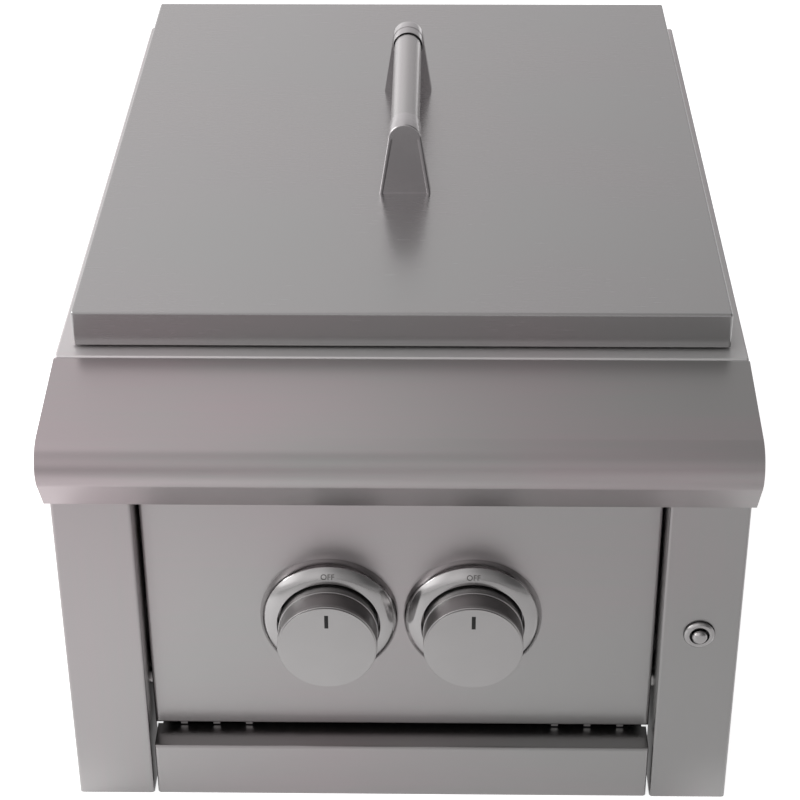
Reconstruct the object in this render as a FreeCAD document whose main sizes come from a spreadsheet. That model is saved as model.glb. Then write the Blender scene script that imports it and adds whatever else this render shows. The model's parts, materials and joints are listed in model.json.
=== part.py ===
import FreeCAD, Part
import math
import os
import Sketcher

# Built-in side burner, in millimetres.
# X runs to the right, Y to the back and Z up. The origin is on the ground under the middle
# of the whole burner. The control panel and the rolled front edge look along -Y.

DOC = FreeCAD.newDocument("BuiltInSideBurner")
SHEET = DOC.addObject("Spreadsheet::Sheet", "Sizes")
VECTOR = FreeCAD.Vector
SIDES = {"left": -1, "right": 1}
NODES = []


# Lengths that know their spreadsheet formula

class Size:
    """A length: its value now, and the spreadsheet formula that it follows."""

    def __init__(self, value, formula):
        self.value = float(value)
        self.formula = formula

    def join(self, other, sign, value):
        return Size(value, "(%s %s %s)" % (self.formula, sign, other.formula))

    def __add__(self, other):
        other = size(other)
        return self.join(other, "+", self.value + other.value)

    def __sub__(self, other):
        other = size(other)
        return self.join(other, "-", self.value - other.value)

    def __mul__(self, other):
        other = size(other)
        return self.join(other, "*", self.value * other.value)

    def __truediv__(self, other):
        other = size(other)
        return self.join(other, "/", self.value / other.value)

    def __neg__(self):
        return size(0) - self

    def __radd__(self, other):
        return size(other) + self

    def __rsub__(self, other):
        return size(other) - self

    def __rmul__(self, other):
        return size(other) * self


def size(number):
    """A Size for a plain number, or the Size itself."""
    if isinstance(number, Size):
        return number
    return Size(number, "(%r)" % float(number))


def driving(alias, number):
    """Put one driving dimension on its own row of the sheet."""
    driving.row += 1
    SHEET.set("A%d" % driving.row, alias)
    SHEET.set("B%d" % driving.row, str(number))
    SHEET.setAlias("B%d" % driving.row, alias)
    return Size(number, "Sizes.%s" % alias)


driving.row = 0


def bind(thing, name, length):
    """Set a property and let it follow the sheet."""
    length = size(length)
    thing.setExpression(name, length.formula)


# Driving dimensions

WIDTH = driving("overall_width", 387)
DEPTH = driving("overall_depth", 564)
DECK_TOP = driving("deck_height", 273)
NOSE_REACH = driving("nose_reach", 29.1)
HOOD_DEPTH = driving("hood_depth", 53)
SHEET_METAL = driving("sheet", 1.2)
BEND = driving("outer_bend", 2.0)
EDGE = driving("deck_edge_drop", 12)
FLANGE = driving("deck_flange", 9)
LID_WIDTH = driving("lid_width", 368.5)
LID_DEPTH = driving("lid_depth", 462)
LID_WALL = driving("lid_wall", 20.9)
LID_GAP = driving("lid_gap", 1.5)
LID_INSET = driving("lid_inset", 64.4)
OPENING_WIDTH = driving("opening_width", 336)
STILE = driving("stile_width", 44.9)
PANEL_WIDTH = driving("panel_width", 294.4)
PANEL_INSET = driving("panel_inset", 16)
PANEL_BASE = driving("panel_base", 40.9)
KNOB_SPACING = driving("knob_spacing", 82.8)
KNOB_HEIGHT = driving("knob_height", 122.6)
BEZEL_RADIUS = driving("bezel_radius", 40)
BEZEL_HOLE = driving("bezel_hole", 29.7)
KNOB_RADIUS = driving("knob_radius", 28.4)
KNOB_PROUD = driving("knob_proud", 31)
STEM_RADIUS = driving("stem_radius", 4)
RUNNING_GAP = driving("running_gap", 0.05)
BUTTON_OFFSET = driving("button_offset", 170.3)
BUTTON_HEIGHT = driving("button_height", 123)
BODY_WIDTH = driving("body_width", 360)
TRAY_HEIGHT = driving("tray_height", 36.5)
TUBE_RADIUS = driving("handle_tube_radius", 8.9)
HANDLE_SPAN = driving("handle_span", 164.6)
HANDLE_AXIS = driving("handle_axis_height", 331.5)
GRATE_ROD = driving("grate_rod_radius", 4)
BURNER_SPACING = driving("burner_spacing", 214)
GAS_TUBE = driving("mixing_tube_radius", 11)

HALF = WIDTH / 2
FRONT = NOSE_REACH - DEPTH / 2
BACK = DEPTH / 2
HOOD_BACK = FRONT + HOOD_DEPTH
DECK_FRONT = HOOD_BACK + 0.8
DECK_BASE = DECK_TOP - EDGE
LID_FRONT = FRONT + LID_INSET
LID_BACK = LID_FRONT + LID_DEPTH
LID_BASE = DECK_TOP + LID_GAP
LID_TOP = LID_BASE + LID_WALL
CENTRE = (LID_FRONT + LID_BACK) / 2
OPENING_FRONT = LID_FRONT + 16
OPENING_BACK = LID_BACK - 16
UPSTAND_TOP = DECK_TOP + 8
STILE_INNER = HALF - STILE
PANEL = FRONT + PANEL_INSET
KNOB_X = KNOB_SPACING / 2
BODY = BODY_WIDTH / 2
BODY_INNER = BODY - SHEET_METAL
BODY_BACK = BACK - 18
BODY_BACK_INNER = BODY_BACK - SHEET_METAL
BAFFLE = OPENING_FRONT - 5
FLOOR = size(46)
BURNER_PAN = size(190)
BURNERS = {"front": CENTRE - BURNER_SPACING / 2, "rear": CENTRE + BURNER_SPACING / 2}
BURNER_KNOB = {"front": "left", "rear": "right"}
PANEL_TOP = DECK_TOP - 16
PANEL_DEPTH = 16
PANEL_SCREWS = [(PANEL + PANEL_DEPTH / 2, height) for height in (PANEL_BASE + 30, PANEL_TOP - 30)]
HOOD_SCREWS = [(across, DECK_BASE + 6) for across in (-150, -50, 50, 150)]
BEZEL_SCREW = 34
VALVE_SCREW = 13
BURNER_SCREW = 20
GASKET = 0.8
GAS_INLET = (163, 22)
MANIFOLD_DROP = 31
TRAY_RIM = TRAY_HEIGHT - 2.5


# Bodies, sketches and features

def piece(node):
    """Start the body of one piece."""
    body = DOC.addObject("PartDesign::Body", node)
    body.Label = node
    NODES.append(body)
    return body


def origin_plane(body, role):
    return [part for part in body.Origin.OriginFeatures if part.Role == role][0]


def new_sketch(body, role, shift):
    """A sketch on one of the body's origin planes, shifted in the plane's own frame."""
    sketch = body.newObject("Sketcher::SketchObject", body.Name + "_sketch")
    sketch.AttachmentSupport = (origin_plane(body, role), [""])
    sketch.MapMode = "FlatFace"
    for letter, length in zip("xyz", shift):
        bind(sketch, "AttachmentOffset.Base." + letter, length)
    return sketch


def pin_point(sketch, edge, end, point):
    """Hold one point of a sketch at two lengths from its origin."""
    kinds = (("DistanceX", -2, "u"), ("DistanceY", -1, "v"))
    for length, (kind, axis, letter) in zip(point, kinds):
        length = size(length)
        if abs(length.value) < 1e-9:
            sketch.addConstraint(Sketcher.Constraint("PointOnObject", edge, end, axis))
            continue
        number = sketch.addConstraint(Sketcher.Constraint(kind, -1, 1, edge, end, length.value))
        name = "%s%d" % (letter, edge)
        sketch.renameConstraint(number, name)
        sketch.setExpression("Constraints." + name, length.formula)


def draw_polygon(sketch, points):
    first = sketch.GeometryCount
    ends = [VECTOR(size(u).value, size(v).value, 0) for u, v in points]
    for start, end in zip(ends, ends[1:] + ends[:1]):
        sketch.addGeometry(Part.LineSegment(start, end))
    for step in range(len(points)):
        edge, following = first + step, first + (step + 1) % len(points)
        sketch.addConstraint(Sketcher.Constraint("Coincident", edge, 2, following, 1))
    for step, point in enumerate(points):
        pin_point(sketch, first + step, 1, point)


def draw_circle(sketch, centre, radius):
    edge = sketch.GeometryCount
    middle = VECTOR(size(centre[0]).value, size(centre[1]).value, 0)
    radius = size(radius)
    sketch.addGeometry(Part.Circle(middle, VECTOR(0, 0, 1), radius.value))
    pin_point(sketch, edge, 3, centre)
    number = sketch.addConstraint(Sketcher.Constraint("Radius", edge, radius.value))
    sketch.renameConstraint(number, "r%d" % edge)
    sketch.setExpression("Constraints.r%d" % edge, radius.formula)


def draw(sketch, outlines):
    """Outlines are lists of corners, or a centre and a radius."""
    for outline in outlines:
        if len(outline) == 2:
            draw_circle(sketch, *outline)
        else:
            draw_polygon(sketch, outline)


def box_outline(u0, v0, u1, v1):
    return [(u0, v0), (u1, v0), (u1, v1), (u0, v1)]


def wide(half_width, v0, v1):
    """A rectangle centred across the burner."""
    return box_outline(-half_width, v0, half_width, v1)


def extrude(body, kind, role, outlines, low, high):
    """Pad or pocket from one coordinate to another along the plane's own axis."""
    low, high = sorted((size(low), size(high)), key=lambda length: length.value)
    along_normal = kind == "Pad"
    if role == "XZ_Plane":
        start = -high if along_normal else -low
    else:
        start = low if along_normal else high
    sketch = new_sketch(body, role, (0, 0, start))
    draw(sketch, outlines)
    feature = body.newObject("PartDesign::" + kind, body.Name + "_" + kind.lower())
    feature.Profile = sketch
    bind(feature, "Length", high - low)
    DOC.recompute()
    return feature


def add(body, role, outlines, low, high):
    return extrude(body, "Pad", role, outlines, low, high)


def cut(body, role, outlines, low, high):
    """Pocket, and stop if nothing was cut away."""
    before = body.Shape.Volume
    feature = extrude(body, "Pocket", role, outlines, low, high)
    if body.Shape.Volume > before - 1e-3:
        raise RuntimeError("a pocket cut nothing in " + body.Name)
    return feature


def turn(body, outline, across=0, axis_at=0, upright=False):
    """Turn a closed (radius, along) outline about a line along Y, or along Z when upright."""
    role, shift = "XY_Plane", (across, 0, axis_at)
    if upright:
        role, shift = "XZ_Plane", (across, 0, -size(axis_at))
    sketch = new_sketch(body, role, shift)
    draw(sketch, [outline])
    feature = body.newObject("PartDesign::Revolution", body.Name + "_turned")
    feature.Profile = sketch
    feature.ReferenceAxis = (sketch, ["V_Axis"])
    DOC.recompute()
    return feature


def edges(feature, direction, **near):
    """Names of straight edges along a direction whose middles lie near given coordinates."""
    axis = "xyz".index(direction)
    found = []
    for number, edge in enumerate(feature.Shape.Edges, 1):
        if edge.Curve.TypeId != "Part::GeomLine":
            continue
        run = edge.Curve.Direction
        if abs(abs(run[axis]) - 1) > 1e-6:
            continue
        middle = edge.CenterOfMass
        fits = [
            any(abs(getattr(middle, letter) - size(value).value) < 0.05 for value in values)
            for letter, values in near.items()
        ]
        if all(fits):
            found.append("Edge%d" % number)
    return found


def level_edges(feature, axis, place):
    """Names of the edges that lie wholly at one place along X, Y or Z."""
    place = size(place).value
    found = []
    for number, edge in enumerate(feature.Shape.Edges, 1):
        ends = (getattr(edge.BoundBox, axis + "Min"), getattr(edge.BoundBox, axis + "Max"))
        if all(abs(end - place) < 0.01 for end in ends):
            found.append("Edge%d" % number)
    return found


def rings(feature, *radii):
    """Names of the round edges whose radius is one of those given."""
    found = []
    for number, edge in enumerate(feature.Shape.Edges, 1):
        if edge.Curve.TypeId != "Part::GeomCircle":
            continue
        if any(abs(edge.Curve.Radius - size(radius).value) < 1e-3 for radius in radii):
            found.append("Edge%d" % number)
    return found


def soften(body, feature, names, radius, kind="Fillet"):
    """Round or chamfer some edges of a feature."""
    if not names:
        raise RuntimeError("no edge to soften in " + body.Name)
    softened = body.newObject("PartDesign::" + kind, body.Name + "_" + kind.lower())
    softened.Base = (feature, names)
    bind(softened, "Radius" if kind == "Fillet" else "Size", radius)
    DOC.recompute()
    return softened


def around(body, feature, turned, count):
    """Repeat a feature evenly about the axis that another feature was turned about."""
    pattern = body.newObject("PartDesign::PolarPattern", body.Name + "_ring")
    pattern.Originals = [feature]
    pattern.Axis = (turned.Profile[0], ["V_Axis"])
    pattern.Angle = 360
    pattern.Occurrences = count
    body.Tip = pattern
    DOC.recompute()


def both(length):
    return (length, -size(length))


# Tubes, rods and fasteners

def place(thing, point, direction=(0, 0, 1)):
    turned = FreeCAD.Rotation(VECTOR(0, 0, 1), VECTOR(*direction))
    thing.Placement = FreeCAD.Placement(VECTOR(*[size(c).value for c in point]), turned)


def round_bar(name, point, direction, radius, length, end_radius=None):
    """A cylinder, or a cone, from a point along a direction."""
    bar = DOC.addObject("Part::Cone" if end_radius is not None else "Part::Cylinder", name)
    if end_radius is None:
        bind(bar, "Radius", radius)
    else:
        bind(bar, "Radius1", radius)
        bind(bar, "Radius2", end_radius)
    bind(bar, "Height", length)
    place(bar, point, direction)
    return bar


def fused(name, parts):
    whole = DOC.addObject("Part::MultiFuse", name)
    whole.Shapes = parts
    return whole


def fasteners(node, points, directions, radius, length, head, head_height):
    """Pan head screws as a group of separate solids; a point is under each head."""
    group = DOC.addObject("Part::Compound", node)
    group.Label = node
    if isinstance(directions, tuple):
        directions = [directions] * len(points)
    screws = []
    for number, (point, direction) in enumerate(zip(points, directions)):
        name = "%s_%d" % (node, number)
        backwards = tuple(-part for part in direction)
        shank = round_bar(name + "_shank", point, direction, radius, length)
        cap = round_bar(name + "_head", point, backwards, head, head_height, size(head) * 0.72)
        screws.append(fused(name, [shank, cap]))
    group.Links = screws
    DOC.recompute()
    NODES.append(group)


def rounded_path(points, radius):
    """Straight runs joined by tangent arcs of one radius."""
    points = [VECTOR(*[size(c).value for c in point]) for point in points]
    parts = []
    start = points[0]
    for before, corner, after in zip(points, points[1:], points[2:]):
        coming = (corner - before).normalize()
        going = (after - corner).normalize()
        half_turn = coming.getAngle(going) / 2
        reach = radius * math.tan(half_turn)
        first, last = corner - coming * reach, corner + going * reach
        bisector = (going - coming).normalize()
        centre = corner + bisector * (radius / math.cos(half_turn))
        middle = centre - bisector * radius
        parts += [Part.LineSegment(start, first).toShape(), Part.Arc(first, middle, last).toShape()]
        start = last
    parts.append(Part.LineSegment(start, points[-1]).toShape())
    return Part.Wire(parts)


def sweep_round(points, bend_radius, radius):
    """A round rod along a path with tangent bends."""
    path = rounded_path(points, bend_radius)
    begin = path.Vertexes[0].Point
    edge = path.Edges[0]
    run = edge.tangentAt(edge.FirstParameter)
    ring = Part.Wire(Part.makeCircle(radius, begin, run))
    return path.makePipeShell([ring], True, False)


def tube_feature(node, shape):
    """Keep a swept shape as one piece."""
    thing = DOC.addObject("Part::Feature", node)
    thing.Label = node
    thing.Shape = shape
    thing.Placement = FreeCAD.Placement()
    NODES.append(thing)


# Fixed sheet metal of the body

def body_wrap():
    """Left side, back and right side in one folded sheet, with a foot and two welding flanges."""
    body = piece("body_wrap")
    front = FRONT + SHEET_METAL
    top = DECK_TOP - SHEET_METAL
    add(body, "XY_Plane", [wide(BODY, front, BODY_BACK)], 0, top)
    inside = BODY_BACK_INNER
    hollow = cut(body, "XY_Plane", [wide(BODY_INNER, front - 5, inside)], SHEET_METAL, top + 1)
    inner = soften(body, hollow, edges(hollow, "z", x=both(BODY_INNER), y=(inside,)), 4.8)
    soften(body, inner, edges(inner, "z", x=both(BODY), y=(BODY_BACK,)), 6)
    foot = 12
    cut(body, "XY_Plane", [wide(BODY - foot, front - 5, BODY_BACK - foot)], -1, SHEET_METAL)
    under_hood = wide(BODY + 1, front - 5, DECK_FRONT + SHEET_METAL + 0.6)
    cut(body, "XY_Plane", [under_hood], DECK_BASE - 0.4, top + 1)
    vents = []
    for row in range(2):
        for column in range(6):
            u = -90 + 36 * column
            v = 200 + 22 * row
            vents.append(box_outline(u - 11, v - 3, u + 11, v + 3))
    cut(body, "XZ_Plane", vents, inside - 1, BODY_BACK + 1)
    gas_hole = (GAS_INLET, 8.6)
    cut(body, "XZ_Plane", [gas_hole], inside - 1, BODY_BACK + 1)
    flanges = [box_outline(BODY_INNER * side, front, (BODY + 9) * side, front + SHEET_METAL)
               for side in SIDES.values()]
    add(body, "XY_Plane", flanges, 0, DECK_BASE - 0.4)


def front_baffle():
    """Heat baffle between the valves and the burners, with a hole for each mixing tube."""
    body = piece("front_baffle")
    low, high = FLOOR + SHEET_METAL, DECK_TOP - SHEET_METAL
    half = BODY_INNER
    add(body, "XZ_Plane", [wide(half, low, high)], BAFFLE, BAFFLE + SHEET_METAL)
    add(body, "XZ_Plane", [wide(half, low, low + SHEET_METAL)], BAFFLE - 12, BAFFLE + SHEET_METAL)
    for side in SIDES.values():
        inner = half - SHEET_METAL
        flange = box_outline(half * side, low, inner * side, high)
        add(body, "XZ_Plane", [flange], BAFFLE - 12, BAFFLE + SHEET_METAL)
    holes = [((KNOB_X * side, KNOB_HEIGHT), GAS_TUBE + 2) for side in SIDES.values()]
    cut(body, "XZ_Plane", holes, BAFFLE - 1, BAFFLE + SHEET_METAL + 1)


def floor_pan():
    """Floor of the fire space, with a drain that drops into the tray."""
    body = piece("floor_pan")
    half, front, back = BODY_INNER, BAFFLE - 12, BODY_BACK_INNER
    slab = add(body, "XY_Plane", [wide(half, front, back)], FLOOR, FLOOR + SHEET_METAL)
    soften(body, slab, edges(slab, "z", x=both(half), y=(back,)), 5.2)
    drain_half, drain_reach = 95, 150
    drain = wide(drain_half, CENTRE - drain_reach, CENTRE + drain_reach)
    lip_reach = drain_reach + SHEET_METAL
    lip = wide(drain_half + SHEET_METAL, CENTRE - lip_reach, CENTRE + lip_reach)
    add(body, "XY_Plane", [lip], FLOOR - 5, FLOOR)
    cut(body, "XY_Plane", [drain], FLOOR - 6, FLOOR + SHEET_METAL + 1)


def burner_pan():
    """Raised pan that carries both burners, with turned-down edges and drain slots."""
    body = piece("burner_pan")
    half, front, back = BODY_INNER, BAFFLE + SHEET_METAL, BODY_BACK_INNER
    low = BURNER_PAN - 14
    block = add(body, "XY_Plane", [wide(half, front, back)], low, BURNER_PAN)
    rounded = soften(body, block, edges(block, "z", x=both(half), y=(back,)), 5.2)
    soften(body, rounded, level_edges(rounded, "Z", BURNER_PAN), BEND)
    inner = half - SHEET_METAL
    under = wide(inner, front + SHEET_METAL, back - SHEET_METAL)
    cut(body, "XY_Plane", [under], low - 1, BURNER_PAN - SHEET_METAL)
    openings = [((0, middle), 15) for middle in BURNERS.values()]
    for middle in BURNERS.values():
        for side in (-1, 1):
            for row in range(5):
                v = middle - 48 + 24 * row
                openings.append(box_outline(side * 90, v - 4, side * 140, v + 4))
    cut(body, "XY_Plane", openings, low, BURNER_PAN + 1)
    holes = [((52, middle), 3.2) for middle in BURNERS.values()]
    for middle in BURNERS.values():
        holes += [((BURNER_SCREW * turned, middle), 2.0) for turned in (-1, 1)]
    cut(body, "XY_Plane", holes, low, BURNER_PAN + 1)


def deck_rim():
    """Top frame: folded outer edge with a turned-in foot, and a raised lip round the opening."""
    body = piece("deck_rim")
    block = add(body, "XY_Plane", [wide(HALF, DECK_FRONT, BACK)], DECK_BASE, DECK_TOP)
    corners = soften(body, block, edges(block, "z", y=(DECK_FRONT, BACK)), 1.5)
    soften(body, corners, level_edges(corners, "Z", DECK_TOP), BEND - 0.6)
    inner = HALF - SHEET_METAL
    front_wall, back_wall = DECK_FRONT + SHEET_METAL, BACK - SHEET_METAL
    under = wide(inner, front_wall, back_wall)
    cut(body, "XY_Plane", [under], DECK_BASE - 1, DECK_TOP - SHEET_METAL)
    foot_inner = HALF - FLANGE
    behind_hood = wide(foot_inner, DECK_FRONT - 1, front_wall + 1)
    cut(body, "XY_Plane", [behind_hood], DECK_BASE - 1, DECK_BASE + 1.5)
    foot = [
        (-inner, front_wall), (-foot_inner, front_wall), (-foot_inner, BACK - FLANGE),
        (foot_inner, BACK - FLANGE), (foot_inner, front_wall), (inner, front_wall),
        (inner, back_wall), (-inner, back_wall),
    ]
    add(body, "XY_Plane", [foot], DECK_BASE, DECK_BASE + SHEET_METAL)
    screws = [(spot, 2.2) for spot in HOOD_SCREWS]
    cut(body, "XZ_Plane", screws, DECK_FRONT - 1, front_wall + 1)
    half = OPENING_WIDTH / 2
    lip_half = half + SHEET_METAL
    outer = wide(lip_half, OPENING_FRONT - SHEET_METAL, OPENING_BACK + SHEET_METAL)
    add(body, "XY_Plane", [outer], DECK_TOP - SHEET_METAL, UPSTAND_TOP)
    opening = wide(half, OPENING_FRONT, OPENING_BACK)
    hole = cut(body, "XY_Plane", [opening], DECK_TOP - 5, UPSTAND_TOP + 1)
    hole_corners = edges(hole, "z", x=both(half), y=(OPENING_FRONT, OPENING_BACK))
    rounded = soften(body, hole, hole_corners, 8)
    soften(body, rounded, edges(rounded, "z", x=both(lip_half), z=((DECK_TOP + UPSTAND_TOP) / 2,)), 9.2)


def front_hood():
    """Rolled front edge: a sloping top, a rounded nose and a lip that slants back."""
    body = piece("front_hood")
    back_top = (HOOD_BACK, DECK_TOP)
    vertex = (FRONT - 40.0, DECK_TOP - 11.9)
    lip = (FRONT - 14.2, DECK_TOP - 53)
    face = FRONT - 0.3
    under_top = DECK_TOP - 8.4
    under_back = DECK_TOP - 1.4
    outline = [back_top, vertex, lip, (face, DECK_TOP - 53), (face, under_top), (HOOD_BACK, under_back)]
    add(body, "YZ_Plane", [outline], -HALF, HALF)
    inner = [
        (FRONT + 2, DECK_TOP - 8.2),
        (FRONT - 37.6, DECK_TOP - 13.2),
        (FRONT - 13.7, DECK_TOP - 51.8),
        (FRONT - 8, DECK_TOP - 51.8),
        (FRONT - 8, DECK_TOP - 60),
        (FRONT + 2, DECK_TOP - 60),
    ]
    hollow = cut(body, "YZ_Plane", [inner], SHEET_METAL - HALF, HALF - SHEET_METAL)
    rounded = soften(body, hollow, edges(hollow, "x", y=(inner[1][0],), z=(inner[1][1],)), 14.8)
    rounded = soften(body, rounded, edges(rounded, "x", y=(vertex[0],), z=(vertex[1],)), 16)
    soften(body, rounded, edges(rounded, "x", y=(lip[0],), z=(lip[1],)), 0.5)
    down_fold = box_outline(HOOD_BACK - SHEET_METAL, DECK_BASE, HOOD_BACK, DECK_TOP - 1)
    folded = add(body, "YZ_Plane", [down_fold], -HALF, HALF)
    soften(body, folded, edges(folded, "x", y=(HOOD_BACK,), z=(DECK_TOP,)), 1.0)
    screws = [(spot, 2.2) for spot in HOOD_SCREWS]
    cut(body, "XZ_Plane", screws, HOOD_BACK - SHEET_METAL - 1, HOOD_BACK + 1)


def stile(side_name):
    """Front post: a channel open to the back; the right one is pierced for the push button."""
    side = SIDES[side_name]
    body = piece(side_name + "_stile")
    outer, inner = HALF * side, STILE_INNER * side
    top = DECK_TOP - 9.4
    block = add(body, "XY_Plane", [box_outline(inner, FRONT, outer, FRONT + 30)], 0, top)
    folds = edges(block, "z", x=(outer, inner), y=(FRONT,))
    soften(body, block, folds, BEND)
    outer_wall, inner_wall = outer - SHEET_METAL * side, inner + SHEET_METAL * side
    inside = box_outline(inner_wall, FRONT + SHEET_METAL, outer_wall, FRONT + 50)
    hollow = cut(body, "XY_Plane", [inside], -1, top + 1)
    folds = edges(hollow, "z", x=(outer_wall, inner_wall), y=(FRONT + SHEET_METAL,))
    soften(body, hollow, folds, BEND - SHEET_METAL)
    screws = [(spot, 2.2) for spot in PANEL_SCREWS]
    cut(body, "YZ_Plane", screws, inner - side, inner_wall + side)
    if side > 0:
        hole = ((BUTTON_OFFSET, BUTTON_HEIGHT), 6.5)
        cut(body, "XZ_Plane", [hole], FRONT - 1, FRONT + SHEET_METAL + 1)


def control_panel():
    """Recessed panel with returns on all four sides, bosses for its screws and lanced tabs."""
    body = piece("control_panel")
    half, top, back = PANEL_WIDTH / 2, PANEL_TOP, PANEL + PANEL_DEPTH
    block = add(body, "XZ_Plane", [wide(half, PANEL_BASE, top)], PANEL, back)
    folds = edges(block, "z", x=both(half), y=(PANEL,)) + edges(block, "x", z=(PANEL_BASE, top), y=(PANEL,))
    soften(body, block, folds, BEND)
    hollow = wide(half - SHEET_METAL, PANEL_BASE + SHEET_METAL, top - SHEET_METAL)
    cut(body, "XZ_Plane", [hollow], PANEL + SHEET_METAL, back + 1)
    bosses = [(spot, 5) for spot in PANEL_SCREWS]
    screws = [(spot, 2.2) for spot in PANEL_SCREWS]
    for side in SIDES.values():
        add(body, "YZ_Plane", bosses, (half - 0.5) * side, STILE_INNER * side)
        cut(body, "YZ_Plane", screws, (half - 2) * side, (STILE_INNER + 1) * side)
    holes = []
    for side in SIDES.values():
        holes.append(((KNOB_X * side, KNOB_HEIGHT), 9))
        for turned in (-1, 1):
            holes.append(((KNOB_X * side + BEZEL_SCREW * turned, KNOB_HEIGHT), 2.2))
            holes.append(((KNOB_X * side, KNOB_HEIGHT + VALVE_SCREW * turned), 2.2))
    cut(body, "XZ_Plane", holes, PANEL - 1, PANEL + SHEET_METAL + 1)
    middles = [side * (91.5 + 19.5 * step) for side in SIDES.values() for step in range(3)]
    slots = [box_outline(middle - 2, PANEL + 5, middle + 2, PANEL + 14) for middle in middles]
    cut(body, "XY_Plane", slots, PANEL_BASE - 1, PANEL_BASE + SHEET_METAL + 1)
    tabs = [box_outline(middle - 2, PANEL + 5 - SHEET_METAL, middle + 2, PANEL + 5) for middle in middles]
    add(body, "XY_Plane", tabs, TRAY_HEIGHT + 0.8, PANEL_BASE + SHEET_METAL)


# Gas train

def bezel(side_name):
    """Die-cast ring round a knob: steep outer wall, rounded shoulder and a broad sloping land."""
    body = piece(side_name + "_bezel")
    outer, hole, wall = BEZEL_RADIUS, BEZEL_HOLE, 1.8
    shoulder, crest = PANEL - 8.2, PANEL - 10.4
    outline = [
        (outer, PANEL), (outer - 1.2, shoulder), (hole, crest), (hole, crest + 4.6),
        (hole + wall, crest + 4.6), (hole + wall, crest + wall), (outer - 1.2 - wall, shoulder + wall),
        (outer - wall, PANEL),
    ]
    turned = turn(body, outline, KNOB_X * SIDES[side_name], KNOB_HEIGHT)
    rounded = soften(body, turned, rings(turned, outer - 1.2), 4.5)
    soften(body, rounded, level_edges(rounded, "Y", crest), 0.5)
    posts = [((KNOB_X * SIDES[side_name] + BEZEL_SCREW * turned, KNOB_HEIGHT), 3.2) for turned in (-1, 1)]
    add(body, "XZ_Plane", posts, PANEL - 8, PANEL)
    taps = [(centre, 1.9) for centre, radius in posts]
    cut(body, "XZ_Plane", taps, PANEL - 4.6, PANEL + 1)


def valve(side_name):
    """Brass valve: bonnet flange, plug chamber, outlet nozzle and inlet stub."""
    body = piece(side_name + "_valve_body")
    across = KNOB_X * SIDES[side_name]
    start = PANEL + SHEET_METAL
    stem_hole = STEM_RADIUS + 0.15
    outline = [
        (17, start), (17, start + 3.3), (12.5, start + 4.6), (12.5, start + 36),
        (7, start + 38), (7, start + 43), (2, start + 43), (2, start + 31.5),
        (8, start + 31.5), (8, start + 13.5), (stem_hole, start + 13.5), (stem_hole, start),
    ]
    turn(body, outline, across, KNOB_HEIGHT)
    stub = ((across, start + 24), 7)
    add(body, "XY_Plane", [stub], KNOB_HEIGHT - 27, KNOB_HEIGHT - 10.5)
    screws = [((across, KNOB_HEIGHT + VALVE_SCREW * turned), 1.6) for turned in (-1, 1)]
    cut(body, "XZ_Plane", screws, start - 0.1, start + 3)


def valve_plug(side_name):
    """Turning plug inside the valve, with the socket that drives the stem."""
    body = piece(side_name + "_valve_plug")
    start = PANEL + SHEET_METAL
    radius = 8 - RUNNING_GAP
    socket = STEM_RADIUS + RUNNING_GAP
    outline = [
        (socket, start + 13.8), (radius, start + 13.8), (radius, start + 31.2),
        (0, start + 31.2), (0, start + 27), (socket, start + 27),
    ]
    turn(body, outline, KNOB_X * SIDES[side_name], KNOB_HEIGHT)


def valve_stem(side_name):
    body = piece(side_name + "_valve_stem")
    across = KNOB_X * SIDES[side_name]
    front, back = PANEL - 25.5, PANEL + SHEET_METAL + 22
    outline = [
        (0, front), (STEM_RADIUS - 0.6, front), (STEM_RADIUS, front + 0.6),
        (STEM_RADIUS, back - 0.6), (STEM_RADIUS - 0.6, back), (0, back),
    ]
    turn(body, outline, across, KNOB_HEIGHT)
    flat = box_outline(across - 5, KNOB_HEIGHT + 2.6, across + 5, KNOB_HEIGHT + 5)
    cut(body, "XZ_Plane", [flat], front - 1, front + 13)


def knob_body(side_name):
    """Hollow knob: base band, ridge, knurled band, face rim and a hub for the stem."""
    body = piece(side_name + "_knob_body")
    across = KNOB_X * SIDES[side_name]
    face = PANEL - KNOB_PROUD
    radius = KNOB_RADIUS
    outline = [
        (STEM_RADIUS, face + 5.5), (STEM_RADIUS, face + 22), (7, face + 22), (7, face + 6.5),
        (radius - 3, face + 6.5), (radius - 3, face + 26), (radius - 0.4, face + 26),
        (radius, face + 25.6), (radius, face + 15), (radius + 0.3, face + 14.7),
        (radius + 0.3, face + 14.3), (radius - 0.3, face + 14), (radius - 0.3, face + 2),
        (radius, face + 1.7), (radius, face + 0.5), (radius - 0.5, face), (radius - 1.1, face),
        (radius - 1.1, face + 2), (0, face + 2), (0, face + 5.5),
    ]
    turn(body, outline, across, KNOB_HEIGHT)
    key = box_outline(across - 3, KNOB_HEIGHT + 2.6, across + 3, KNOB_HEIGHT + 5)
    add(body, "XZ_Plane", [key], face + 5.5, face + 17)


def knob_cap(side_name):
    """Face plate set into the knob's rim, with a shallow pointer groove."""
    body = piece(side_name + "_knob_cap")
    across = KNOB_X * SIDES[side_name]
    face = PANEL - KNOB_PROUD
    radius = KNOB_RADIUS - 1.4
    outline = [(0, face), (radius - 0.3, face), (radius, face + 0.3), (radius, face + 2), (0, face + 2)]
    turn(body, outline, across, KNOB_HEIGHT)
    pointer = box_outline(across - 1, KNOB_HEIGHT + 14, across + 1, KNOB_HEIGHT + 23)
    cut(body, "XZ_Plane", [pointer], face - 1, face + 0.5)


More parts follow.
